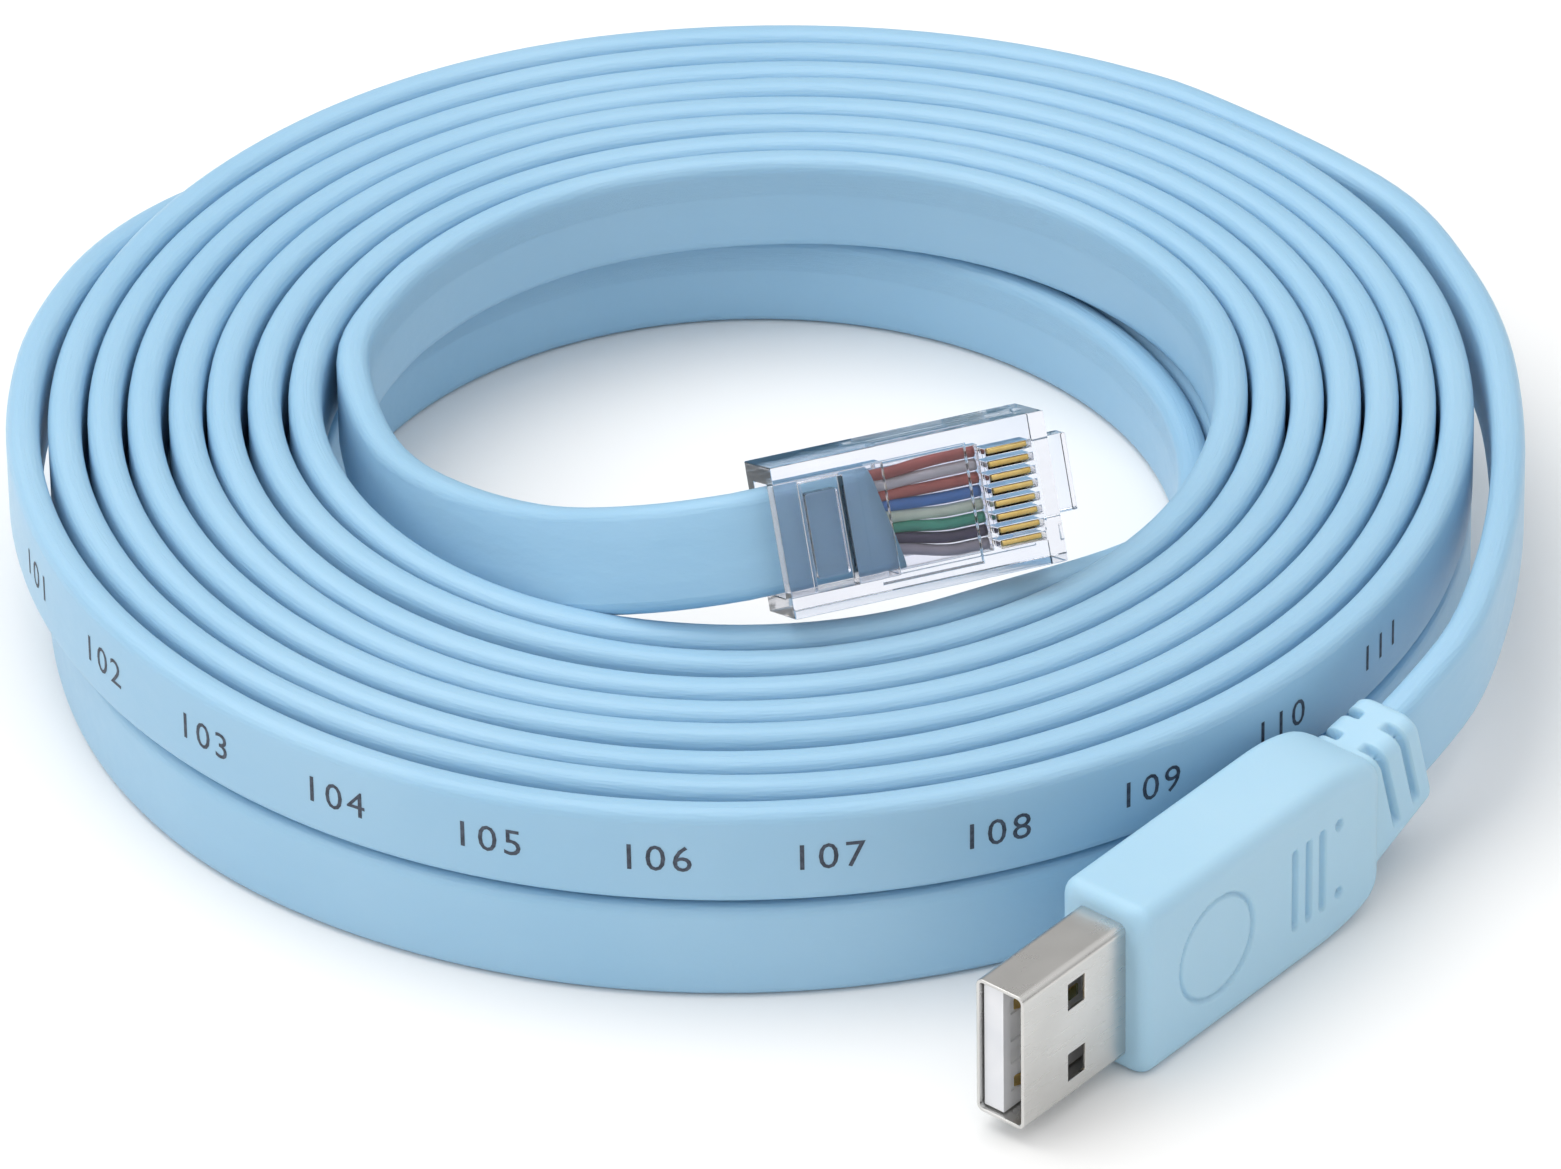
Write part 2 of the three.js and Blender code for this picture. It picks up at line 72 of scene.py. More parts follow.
# Winding: the turns lie further apart on one side, and the strands wander and lift a little
TURN_PITCH = 3.0
PITCH_SWING = 0.3
WIDE_SIDE = 250
LOW_TIER = CABLE_WIDTH / 2
TIER_GAP = 0.15
TOP_TIER = CABLE_WIDTH * 1.5 + TIER_GAP
COIL_SAMPLE = 6
TOP_TURNS = 4
LOW_TURNS = 8
SIDE_PLAY = 0.48
STRAND_LIFT = 0.25
LIFT_WAVE_RATE = 1.7
CALM_END = 60

# USB plug in its own frame: X from the tip to the cable, Y through the thickness, Z up
USB_AZIMUTH = 49.6
USB_TIP_AZIMUTH = -75.9
USB_TIP_FROM_COIL = 19.6
USB_MIDDLE = 7.5
SHELL_HEIGHT = 12
SHELL_THICKNESS = 4.5
SHELL_WALL = 0.3
OVERMOULD_FRONT = 11.9
OVERMOULD_HEIGHT = 15
OVERMOULD_THICKNESS = 8.2
NOSE_START = 32.9
OVERMOULD_END = 40.1
RELIEF_LENGTH = 7.6
RELIEF_RISE = 15

# RJ45 plug in its own frame: X from the rear to the nose, -Y is the contact side, Z is the width
RJ45_AZIMUTH = 19.7
RJ45_LEAN = 27
RJ45_REAR_PLACE = (-85.6, -4, 10.4)
RJ45_LENGTH = 22
RJ45_WIDTH = 11.68
RJ45_THICKNESS = 6.6
CONTACTS = 8
CONTACT_PITCH = 1.02
JACKET_SEATED = 9
JACKET_SLANT = 0.22
LEAD_STRAIGHT = 2.5
CABLE_IN_RELIEF = 1.5

# Azimuth around the coil in degrees, distance out from the coil's wall, height above the top tier
USB_LEAD_PLACES = [
    (-29.7, 5.8, -0.85),
    (-21.9, 4.55, -0.15),
    (-12.5, 3.2, 0),
    (-2.9, 2.4, 0),
    (7.8, 2.25, 0),
    (17.6, 2.1, 0),
    (28.4, 1.9, 0),
]
RJ45_LEAD_PLACES = [
    (162.6, -2, 0),
    (179, -4.1, 0.05),
    (196.7, -5.5, 0.55),
    (216.4, -6.3, 2.35),
    (238.3, -5.7, 5.05),
    (256.5, -3.9, 8.45),
]


def from_wall(wall_radius, place):
    """A point beside one of the coil's walls, from the coil's middle."""
    azimuth, outward, lift = place
    turn = math.radians(azimuth)
    radius = wall_radius + outward
    return (radius * math.cos(turn), radius * math.sin(turn), TOP_TIER + lift)


usb_tip = from_wall(COIL_RADIUS, (USB_TIP_AZIMUTH, USB_TIP_FROM_COIL, USB_MIDDLE - TOP_TIER))
rj45_rear = from_wall(COIL_INNER_RADIUS, RJ45_REAR_PLACE)
usb_matrix = (
    Matrix.Translation(Vector(COIL_MIDDLE) + Vector(usb_tip))
    @ Matrix.Rotation(math.radians(USB_AZIMUTH), 4, "Z")
)
rj45_matrix = (
    Matrix.Translation(Vector(COIL_MIDDLE) + Vector(rj45_rear))
    @ Matrix.Rotation(math.radians(RJ45_AZIMUTH), 4, "Z")
    @ Matrix.Rotation(-math.radians(RJ45_LEAN), 4, "X")
)


def smooth_step(value):
    """Zero up to 0, one from 1 on, and a soft rise between them."""
    t = np.clip(value, 0.0, 1.0)
    return t * t * (3 - 2 * t)


def placed(points, matrix):
    """Points from a plug's own frame, in the frame of the object."""
    m = np.array(matrix)
    return np.asarray(points, float) @ m[:3, :3].T + m[:3, 3]


# Camera

def make_camera():
    data = bpy.data.cameras.new("camera")
    data.lens = CAMERA_LENS
    data.sensor_width = CAMERA_SENSOR
    data.clip_start = 0.01
    data.clip_end = 20
    camera = bpy.data.objects.new("camera", data)
    bpy.context.collection.objects.link(camera)
    place = (Vector(COIL_MIDDLE) + Vector(CAMERA_PLACE)) * MM
    camera.matrix_world = (
        Matrix.Translation(place)
        @ Matrix.Rotation(math.radians(CAMERA_TURN), 4, "Z")
        @ Matrix.Rotation(math.radians(90 - CAMERA_DOWN), 4, "X")
        @ Matrix.Rotation(math.radians(CAMERA_ROLL), 4, "Z")
    )
    bpy.context.scene.camera = camera


# Meshes

def mesh_object(name, points, faces, smooth=True):
    """A mesh object from points in millimetres."""
    data = bpy.data.meshes.new(name)
    data.from_pydata([tuple(p) for p in np.asarray(points, float) * MM], [], faces)
    data.update()
    if smooth:
        data.shade_smooth()
    else:
        data.shade_flat()
    piece = bpy.data.objects.new(name, data)
    bpy.context.collection.objects.link(piece)
    return piece


def ring_faces(rings, around):
    """The faces of a tube whose points come ring by ring, with its two end caps."""
    start = np.arange(rings - 1)[:, None] * around
    side = np.arange(around)[None, :]
    after = (side + 1) % around
    quads = np.stack([start + side, start + after, start + around + after, start + around + side], -1)
    faces = quads.reshape(-1, 4).tolist()
    faces.append(list(range(around))[::-1])
    faces.append([(rings - 1) * around + k for k in range(around)])
    return faces


def rounded_section(width, height, radius, corner_steps, side_steps=1):
    """A rounded rectangle, counterclockwise, as points around the origin."""
    points = []
    corners = [(1, 1, 0), (-1, 1, 90), (-1, -1, 180), (1, -1, 270)]
    for sx, sy, start in corners:
        middle = np.array([sx * (width / 2 - radius), sy * (height / 2 - radius)])
        for step in range(corner_steps + 1):
            angle = math.radians(start + 90 * step / corner_steps)
            points.append(middle + radius * np.array([math.cos(angle), math.sin(angle)]))
    if side_steps > 1:
        filled = []
        for index, point in enumerate(points):
            filled.append(point)
            if (index + 1) % (corner_steps + 1) == 0:
                after = points[(index + 1) % len(points)]
                for k in range(1, side_steps):
                    filled.append(point + (after - point) * k / side_steps)
        points = filled
    return np.array(points)


# The cable's route

def local_pitch(azimuth):
    """The turns lie further apart on one side of the coil."""
    return TURN_PITCH + PITCH_SWING * math.cos(math.radians(azimuth - WIDE_SIDE))


# Rate, phase and share of the slow waves that the strands follow
WAVES = [(0.0137, 2.1, 1.0), (0.0293, 4.7, 1.0), (0.0071, 1.3, 1.0), (0.0571, 3.1, 0.7)]


def wander(place, seed):
    """A slow smooth wave between -1 and 1 along the cable, different for each seed."""
    total = sum(share * math.sin(place * rate + seed * phase) for rate, phase, share in WAVES)
    return total / sum(share for _, _, share in WAVES)


# Sectors of the coil, in degrees counterclockwise from +X
LEAD_JOINS = (10, 100)
STRAND_RISES = (100, 170)
LOW_TURNS_STEP_OUT = (170, 230)
STRAND_SINKS = (300, 368)
COIL_STARTS = 50
COIL_ENDS = 150

# Seeds of the waves, for the three stretches sideways and for the two top ones in height
SIDE_SEEDS = (1, 2, 5)
LIFT_SEEDS = (3, 8)


def passed(azimuth, sector, turns):
    """How far a strand is through a sector, from 0 to 1, after a number of whole turns."""
    start, end = sector
    return float(smooth_step((azimuth - start - 360 * turns) / (end - start)))


def steps_done(azimuth, sector, first_turn):
    """How many times a strand has passed a sector, with a smooth part of a turn inside it."""
    count = 0.0
    turn = first_turn
    while azimuth > sector[0] + 360 * turn:
        count += passed(azimuth, sector, turn)
        turn += 1
    return count


def top_height(azimuth, seed):
    """The height of a strand in the top tier, which lifts a little here and there."""
    return TOP_TIER + STRAND_LIFT * (1 + wander(azimuth * LIFT_WAVE_RATE, seed))


def coil_point(azimuth, slot, height, seed):
    """A point of a strand in a slot, where slot 0 is the outermost turn."""
    pitch = local_pitch(azimuth)
    spare = pitch - CABLE_THICKNESS
    radius = COIL_RADIUS - (slot + 0.5) * pitch + SIDE_PLAY * spare * wander(azimuth, seed)
    angle = math.radians(azimuth)
    return (radius * math.cos(angle), radius * math.sin(angle), height)


def coil_route():
    """Three stretches that follow each other without crossing.

    The first winds inwards in the top tier and sinks along the bore's wall, the second winds
    outwards in the low tier and rises along the outer wall, and the third winds inwards in
    the top tier again, in the spaces between the turns of the first.
    """
    points = []
    first_end = STRAND_SINKS[1] + (TOP_TURNS - 1) * 360
    for azimuth in range(COIL_STARTS, first_end, COIL_SAMPLE):
        slot = 2 * steps_done(azimuth, LEAD_JOINS, 0) - 1
        high = top_height(azimuth, LIFT_SEEDS[0])
        height = high + (LOW_TIER - high) * passed(azimuth, STRAND_SINKS, TOP_TURNS - 1)
        points.append(coil_point(azimuth, slot, height, SIDE_SEEDS[0]))
    second_end = STRAND_RISES[1] + LOW_TURNS * 360
    high = top_height(STRAND_RISES[1], LIFT_SEEDS[1])
    for azimuth in range(STRAND_SINKS[1], second_end, COIL_SAMPLE):
        slot = LOW_TURNS - 1 - steps_done(azimuth, LOW_TURNS_STEP_OUT, 1)
        height = LOW_TIER + (high - LOW_TIER) * passed(azimuth, STRAND_RISES, LOW_TURNS)
        points.append(coil_point(azimuth, slot, height, SIDE_SEEDS[1]))
    third_end = COIL_ENDS + TOP_TURNS * 360
    for azimuth in range(STRAND_RISES[1], third_end, COIL_SAMPLE):
        slot = 2 * steps_done(azimuth, LEAD_JOINS, 1)
        lift = top_height(azimuth, LIFT_SEEDS[1]) - TOP_TIER
        height = TOP_TIER + lift * float(smooth_step((third_end - azimuth) / CALM_END))
        points.append(coil_point(azimuth, slot, height, SIDE_SEEDS[2]))
    return points


def relief_point(distance):
    """A point on the middle line of the USB strain relief."""
    rise = math.radians(RELIEF_RISE)
    return (OVERMOULD_END + distance * math.cos(rise), 0, distance * math.sin(rise))


def cable_route():
    """The cable's middle line from inside the USB relief to inside the RJ45 plug, as points."""
    at_relief = [relief_point(RELIEF_LENGTH + past) for past in (-CABLE_IN_RELIEF, LEAD_STRAIGHT)]
    start = placed(at_relief, usb_matrix)
    usb_lead = [from_wall(COIL_RADIUS, place) for place in USB_LEAD_PLACES]
    rj45_lead = [from_wall(COIL_INNER_RADIUS, place) for place in RJ45_LEAD_PLACES]
    free_points = np.array(usb_lead + coil_route() + rj45_lead, float) + COIL_MIDDLE
    seated = [-LEAD_STRAIGHT, 0, JACKET_SEATED / 2, JACKET_SEATED]
    end = placed([(x, 0, 0) for x in seated], rj45_matrix)
    return np.vstack([start, free_points, end])


def through(points, step):
    """A centripetal Catmull-Rom curve through the points, resampled at an even step."""
    padded = np.vstack([2 * points[0] - points[1], points, 2 * points[-1] - points[-2]])
    fine = []
    for i in range(1, len(padded) - 2):
        p0, p1, p2, p3 = padded[i - 1:i + 3]
        t1 = np.linalg.norm(p1 - p0) ** 0.5
        t2 = t1 + np.linalg.norm(p2 - p1) ** 0.5
        t3 = t2 + np.linalg.norm(p3 - p2) ** 0.5
        t = np.linspace(t1, t2, 9)[:-1, None]
        a1 = (t1 - t) / t1 * p0 + t / t1 * p1
        a2 = (t2 - t) / (t2 - t1) * p1 + (t - t1) / (t2 - t1) * p2
        a3 = (t3 - t) / (t3 - t2) * p2 + (t - t2) / (t3 - t2) * p3
        b1 = (t2 - t) / t2 * a1 + t / t2 * a2
        b2 = (t3 - t) / (t3 - t1) * a2 + (t - t1) / (t3 - t1) * a3
        fine.append((t2 - t) / (t2 - t1) * b1 + (t - t1) / (t2 - t1) * b2)
    fine = np.vstack(fine + [points[-1:]])
    run = np.concatenate([[0], np.cumsum(np.linalg.norm(np.diff(fine, axis=0), axis=1))])
    even = np.linspace(0, run[-1], int(round(run[-1] / step)) + 1)
    return np.stack([np.interp(even, run, fine[:, axis]) for axis in range(3)], 1), even


def ribbon_frames(line, run):
    """The tangent, the direction through the thickness and the direction across the width."""
    tangent = np.gradient(line, axis=0)
    tangent /= np.linalg.norm(tangent, axis=1)[:, None]
    side = np.cross([0.0, 0.0, 1.0], tangent)
    side /= np.linalg.norm(side, axis=1)[:, None]
    across = np.cross(tangent, side)
    lead = np.array(from_wall(COIL_INNER_RADIUS, RJ45_LEAD_PLACES[0])) + COIL_MIDDLE
    lead_run = run[np.linalg.norm(line - lead, axis=1).argmin()]
    share = (run - lead_run) / (run[-1] - JACKET_SEATED - lead_run)
    lean = np.radians(RJ45_LEAN * smooth_step(share))[:, None]
    through_thickness = side * np.cos(lean) - across * np.sin(lean)
    across_width = across * np.cos(lean) + side * np.sin(lean)
    return tangent, through_thickness, across_width


def make_cable():
    """The cable, with its middle line, the run along it and its two cross directions."""
    line, run = through(cable_route(), CABLE_STEP)
    tangent, thick, wide = ribbon_frames(line, run)
    section = rounded_section(CABLE_THICKNESS, CABLE_WIDTH, CABLE_EDGE_RADIUS, corner_steps=4, side_steps=3)
    points = line[:, None] + thick[:, None] * section[None, :, :1] + wide[:, None] * section[None, :, 1:]
    slanted_run = 3 * CABLE_STEP
    slant = JACKET_SLANT * smooth_step((run - run[-1] + slanted_run) / slanted_run)
    points -= tangent[:, None] * section[None, :, 1:] * slant[:, None, None]
    around = len(section)
    cable = mesh_object("flat_cable", points.reshape(-1, 3), ring_faces(len(line), around))
    uv = cable.data.uv_layers.new(name="run")
    loops = np.empty(len(cable.data.loops), int)
    cable.data.loops.foreach_get("vertex_index", loops)
    coordinates = np.stack([run[loops // around] * MM, (loops % around) / around], 1)
    uv.data.foreach_set("uv", coordinates.ravel())
    return cable, line, run, thick, wide


# Numbers printed along the outer turn

NUMBER_HEIGHT = 2.3
NUMBER_SPACING = 12.6
NUMBER_SECTOR = (190, 340)
NUMBER_ABOVE_FACE = 0.02
DIGIT_SHARE_OF_FONT = 0.7
DIGIT_SPACING = 1.18
FIRST_NUMBER = 101


def make_numbers(line, run, thick, wide):
    """Plain running numbers that follow the face of the outer turn at the front."""
    def on_outer_face(place, height):
        """A point on the cable's outer face, at a place along it and a height on it."""
        middle, inward, across = (
            np.array([np.interp(place, run, values[:, axis]) for axis in range(3)])
            for values in (line, thick, wide)
        )
        return middle - inward * (CABLE_THICKNESS / 2 + NUMBER_ABOVE_FACE) + across * height

    out = line - COIL_MIDDLE
    azimuth = np.degrees(np.arctan2(out[:, 1], out[:, 0])) % 360
    in_sector = (azimuth > NUMBER_SECTOR[0]) & (azimuth < NUMBER_SECTOR[1])
    outer = np.hypot(out[:, 0], out[:, 1]) > COIL_RADIUS - TURN_PITCH
    high = out[:, 2] > TOP_TIER - 1
    chosen = np.flatnonzero(in_sector & outer & high & (run > run[-1] / 2))
    first, last = run[chosen[0]], run[chosen[-1]]
    points = []
    faces = []
    for index in range(int((last - first) / NUMBER_SPACING)):
        word_points, word_faces = flat_word(str(FIRST_NUMBER + index))
        middle = first + (index + 0.5) * NUMBER_SPACING
        start = len(points)
        points += [on_outer_face(middle + x, y) for x, y in word_points]
        faces += [[start + k for k in face] for face in word_faces]
    return mesh_object("cable_print", points, faces, smooth=False)


def flat_word(body):
    """The points, in millimetres about the middle, and the faces of a flat word."""
    curve = bpy.data.curves.new("word", "FONT")
    curve.body = body
    curve.size = NUMBER_HEIGHT / DIGIT_SHARE_OF_FONT
    curve.align_x = "CENTER"
    curve.align_y = "CENTER"
    curve.resolution_u = 3
    curve.space_character = DIGIT_SPACING
    shown = bpy.data.objects.new("word", curve)
    data = bpy.data.meshes.new_from_object(shown)
    points = [(v.co.x, v.co.y) for v in data.vertices]
    faces = [list(p.vertices) for p in data.polygons]
    bpy.data.objects.remove(shown)
    bpy.data.curves.remove(curve)
    bpy.data.meshes.remove(data)
    return points, faces


# USB overmould

BODY_END = OVERMOULD_END + 1.2
BODY_STEP = 0.13
FRONT_ROUND = 1.1
TAIL_ROUND = 2.6
TAIL_THINS_BY = 0.9
BODY_CORNER = 1.35
NOSE_DROP = 3.9
NOSE_FULLNESS = 0.985
NOSE_POWER = 2.2

# Marks on the broad faces
GROOVE_EDGE = 0.12
BARS = 3
FIRST_BAR = 29.8
BAR_PITCH = 1.65
BAR_HALF_LENGTH = 3.3
BAR_WIDTH = 0.6
BAR_DEPTH = 0.6
DOT_PLACE = (35.1, 3.1)
DOT_WIDTH = 0.8
DOT_DEPTH = 0.5
RING_MIDDLE = 20.5
RING_RADIUS = 4.3
RING_WIDTH = 0.28
RING_DEPTH = 0.4
DISC_DEPTH = 0.1

# The strain relief: sizes through the thickness and along the height
RELIEF_INSIDE_BODY = 2.4
RELIEF_STEP = 0.12
RELIEF_END_ROUND = 0.7
RELIEF_HALF_THICKNESS = 3.25
RELIEF_HALF_HEIGHT = 5.1
RELIEF_THINS_BY = 0.45
RELIEF_LOWERS_BY = 0.6
RELIEF_CORNER = 1.3
RELIEF_SLOTS = 2
RELIEF_SLOT_FROM_END = 2.1
RELIEF_SLOT_PITCH = 2.6
RELIEF_SLOT_WIDTH = 0.75
RELIEF_SLOT_DEPTH = 1.0
RELIEF_SPINE_HALF_WIDTH = 0.9
RELIEF_LOWER_BAND = 0.62


def overmould_half_height(x):
    """Half the body's height, which falls in an arc towards the cable."""
    share = np.clip((x - NOSE_START) / (BODY_END - NOSE_START), 0, 1)
    return OVERMOULD_HEIGHT / 2 - NOSE_DROP * (1 - np.sqrt(1 - NOSE_FULLNESS * share ** NOSE_POWER))


def end_round(distance, radius):
    """How far a face draws in at a distance from a rounded end."""
    t = np.clip(1 - distance / radius, 0, 1)
    return radius * (1 - np.sqrt(1 - t * t))


def groove(distance, width, depth):
    """A soft-edged groove of a width around distance zero."""
    return depth * smooth_step((width / 2 + GROOVE_EDGE - abs(distance)) / (2 * GROOVE_EDGE))


def broad_face_relief(x, z):
    """How deep the marks on the overmould's broad faces are at a place."""
    depth = np.zeros_like(x)
    for index in range(BARS):
        beside_bar = x - FIRST_BAR - BAR_PITCH * index
        past_end = np.maximum(abs(z) - BAR_HALF_LENGTH, 0)
        depth = np.maximum(depth, groove(np.hypot(beside_bar, past_end), BAR_WIDTH, BAR_DEPTH))
    for side in (-1, 1):
        from_dot = np.hypot(x - DOT_PLACE[0], z - DOT_PLACE[1] * side)
        depth = np.maximum(depth, groove(from_dot, DOT_WIDTH, DOT_DEPTH))
    from_middle = np.hypot(x - RING_MIDDLE, z)
    depth = np.maximum(depth, groove(from_middle - RING_RADIUS, RING_WIDTH, RING_DEPTH))
    return depth + DISC_DEPTH * smooth_step((RING_RADIUS - from_middle) / 0.2)


def face_section(width, height, radius, corner_steps, tall_steps, short_steps):
    """A rounded rectangle with its own number of steps on the tall and on the short sides."""
    w, h = width / 2 - radius, height / 2 - radius
    points = []
    for sx, sy, start in [(1, -1, -90), (1, 1, 0), (-1, 1, 90), (-1, -1, 180)]:
        arc = [math.radians(start + 90 * step / corner_steps) for step in range(corner_steps + 1)]
        corner = [(sx * w + radius * math.cos(a), sy * h + radius * math.sin(a)) for a in arc]
        points += corner[:-1]
        is_tall = sx * sy < 0
        way = (0, 2 * h * sx) if is_tall else (-2 * w * sy, 0)
        steps = tall_steps if is_tall else short_steps
        for step in range(steps):
            points.append(tuple(np.array(corner[-1]) + np.array(way) * step / steps))
    return np.array(points)


def overmould_body():
    """The rings of the moulded body from the shell to the cable, with its marks sunk in."""
    xs = np.concatenate([
        OVERMOULD_FRONT + FRONT_ROUND * (1 - np.cos(np.linspace(0, math.pi / 2, 9)[:-1])),
        np.arange(OVERMOULD_FRONT + FRONT_ROUND, BODY_END - 0.2, BODY_STEP),
        BODY_END - 0.2 * np.linspace(1, 0, 4) ** 2,
    ])
    rings = []
    for x in xs:
        draw = float(end_round(x - OVERMOULD_FRONT, FRONT_ROUND))
        tail = float(end_round(BODY_END + 0.05 - x, TAIL_ROUND))
        half_y = OVERMOULD_THICKNESS / 2 - draw - tail * TAIL_THINS_BY
        half_z = float(overmould_half_height(x)) - draw
        radius = min(BODY_CORNER, half_y * 0.8)
        ring = face_section(2 * half_y, 2 * half_z, radius, 6, 66, 10)
        depth = broad_face_relief(np.full(len(ring), x), ring[:, 1])
        on_face = smooth_step((abs(ring[:, 0]) - half_y + 0.5) / 0.3)
        ring[:, 0] -= np.sign(ring[:, 0]) * depth * on_face
        rings.append(np.column_stack([np.full(len(ring), x), ring[:, 0], ring[:, 1]]))
    return np.array(rings)


def sink_slot(ring, depth, half_y, half_z):
    """Sinks a slot into the relief's sides and top, past a lower band and a spine on top."""
    above_band = smooth_step((ring[:, 1] + half_z * RELIEF_LOWER_BAND) / 0.8)
    on_side = smooth_step((abs(ring[:, 0]) - half_y + RELIEF_CORNER) / 1.2)
    beside_spine = smooth_step((abs(ring[:, 0]) - RELIEF_SPINE_HALF_WIDTH) / 0.6)
    on_top = smooth_step((ring[:, 1] - half_z + RELIEF_CORNER) / 1.2)
    ring[:, 0] -= np.sign(ring[:, 0]) * depth * above_band * on_side
    ring[:, 1] -= depth * on_top * beside_spine


def relief_rings():
    """The strain relief along its own axis: three segments with slots between them."""
    round_start = RELIEF_LENGTH - RELIEF_END_ROUND
    distances = np.concatenate([
        np.arange(-RELIEF_INSIDE_BODY, round_start, RELIEF_STEP),
        round_start + RELIEF_END_ROUND * np.sin(np.linspace(0, math.pi / 2, 7)),
    ])
    rise = math.radians(RELIEF_RISE)
    rings = []
    for distance in distances:
        share = (distance + RELIEF_INSIDE_BODY) / (RELIEF_LENGTH + RELIEF_INSIDE_BODY)
        draw = float(end_round(RELIEF_LENGTH + 0.02 - distance, RELIEF_END_ROUND))
        half_y = RELIEF_HALF_THICKNESS - RELIEF_THINS_BY * share - draw
        half_z = RELIEF_HALF_HEIGHT - RELIEF_LOWERS_BY * share - draw
        ring = face_section(2 * half_y, 2 * half_z, RELIEF_CORNER, 6, 40, 18)
        for slot in range(RELIEF_SLOTS):
            middle = RELIEF_LENGTH - RELIEF_SLOT_FROM_END - RELIEF_SLOT_PITCH * slot
            depth = float(groove(distance - middle, RELIEF_SLOT_WIDTH, RELIEF_SLOT_DEPTH))
            sink_slot(ring, depth, half_y, half_z)
        x = OVERMOULD_END + distance * math.cos(rise) - ring[:, 1] * math.sin(rise)
        z = distance * math.sin(rise) + ring[:, 1] * math.cos(rise)
        rings.append(np.column_stack([x, ring[:, 0], z]))
    return np.array(rings)


def join_rings(name, groups, matrix):
    """One mesh object from several tubes, each given ring by ring."""
    points = []
    faces = []
    for rings in groups:
        start = sum(len(p) for p in points)
        tube = ring_faces(rings.shape[0], rings.shape[1])
        faces += [[start + k for k in face] for face in tube]
        points.append(rings.reshape(-1, 3))
    return mesh_object(name, placed(np.vstack(points), matrix), faces)


def swept(name, rings, matrix, smooth=True):
    """A mesh object from one tube, given ring by ring."""
    rings = np.array(rings)
    faces = ring_faces(rings.shape[0], rings.shape[1])
    return mesh_object(name, placed(rings.reshape(-1, 3), matrix), faces, smooth)


# Blocks with soft edges and cuts

def block(name, low, high, matrix, bevel=0.0, segments=2):
    """A block between two corners in a plug's frame, with rounded edges."""
    x, y, z = zip(low, high)
    corners = [(x[i], y[j], z[k]) for i in (0, 1) for j in (0, 1) for k in (0, 1)]
    faces = [(0, 1, 3, 2), (4, 6, 7, 5), (0, 4, 5, 1), (2, 3, 7, 6), (0, 2, 6, 4), (1, 5, 7, 3)]
    piece = mesh_object(name, placed(corners, matrix), faces, smooth=False)
    if bevel:
        soften(piece, bevel, segments)
    return piece


def apply_modifier(piece, modifier):
    with bpy.context.temp_override(object=piece, active_object=piece, selected_objects=[piece]):
        bpy.ops.object.modifier_apply(modifier=modifier.name)


def soften(piece, width, segments=2):
    """Rounds a piece's sharp edges and keeps its flat faces flat."""
    bevel = piece.modifiers.new("soft_edges", "BEVEL")
    bevel.width = width * MM
    bevel.segments = segments
    bevel.limit_method = "ANGLE"
    bevel.angle_limit = math.radians(30)
    bevel.harden_normals = False
    apply_modifier(piece, bevel)
    piece.data.shade_smooth()
    smooth = piece.modifiers.new("flat_faces", "WEIGHTED_NORMAL")
    smooth.keep_sharp = True


def cut(piece, tool, operation="DIFFERENCE"):
    """Takes a tool's shape out of a piece, or adds it, and removes the tool."""
    boolean = piece.modifiers.new("cut", "BOOLEAN")
    boolean.operation = operation
    boolean.object = tool
    boolean.solver = "EXACT"
    apply_modifier(piece, boolean)
    data = tool.data
    bpy.data.objects.remove(tool)
    bpy.data.meshes.remove(data)


def extruded(name, outline, start, end, matrix):
    """An outline in Y and Z, extruded along X."""
    return swept(name, [[(x, y, z) for y, z in outline] for x in (start, end)], matrix, smooth=False)


# USB shell, tongue and contacts

SHELL_SEATED = 4.5
SHELL_CORNER = 0.6
SHELL_INNER_CORNER = 0.35
SHELL_EDGE = 0.07
WINDOW_START, WINDOW_END = 5.2, 7.2
WINDOW_FROM_MIDDLE = 3.2
WINDOW_HALF_HEIGHT = 1.22
TONGUE_GAP = 0.12
TONGUE_THICKNESS = 1.85
TONGUE_HALF_HEIGHT = 5.55
TONGUE_START, TONGUE_END = 0.4, 15
TONGUE_EDGE = 0.1
TONGUE_FAR_FACE = SHELL_THICKNESS / 2 - SHELL_WALL - TONGUE_GAP
LANE_START, LANE_END = 1.3, 9.6
LANE_HALF_HEIGHT = 0.62
LANE_DEPTH = 0.13
USB_CONTACT_PLACES = (-3.5, -1, 1, 3.5)
OUTER_CONTACT_START, INNER_CONTACT_START = 1.5, 2.5
USB_CONTACT_END = 8.9
USB_CONTACT_THICKNESS = 0.2
USB_CONTACT_WIDTH = 1.0
USB_CONTACT_PROUD = 0.06
USB_CONTACT_DIP = 0.35
USB_CONTACT_DIP_LENGTH = 1.1


def make_usb_shell():
    end = OVERMOULD_FRONT + SHELL_SEATED
    outside = rounded_section(SHELL_THICKNESS, SHELL_HEIGHT, SHELL_CORNER, 5)
    inside = rounded_section(SHELL_THICKNESS - 2 * SHELL_WALL, SHELL_HEIGHT - 2 * SHELL_WALL,
                             SHELL_INNER_CORNER, 4)
    shell = extruded("usb_metal_shell", outside, 0, end, usb_matrix)
    cut(shell, extruded("hollow", inside, -1, end - SHELL_WALL, usb_matrix))
    for side in (-1, 1):
        middle = WINDOW_FROM_MIDDLE * side
        low = (WINDOW_START, -SHELL_THICKNESS, middle - WINDOW_HALF_HEIGHT)
        high = (WINDOW_END, SHELL_THICKNESS, middle + WINDOW_HALF_HEIGHT)
        cut(shell, block("window", low, high, usb_matrix))
    soften(shell, SHELL_EDGE)
    return shell


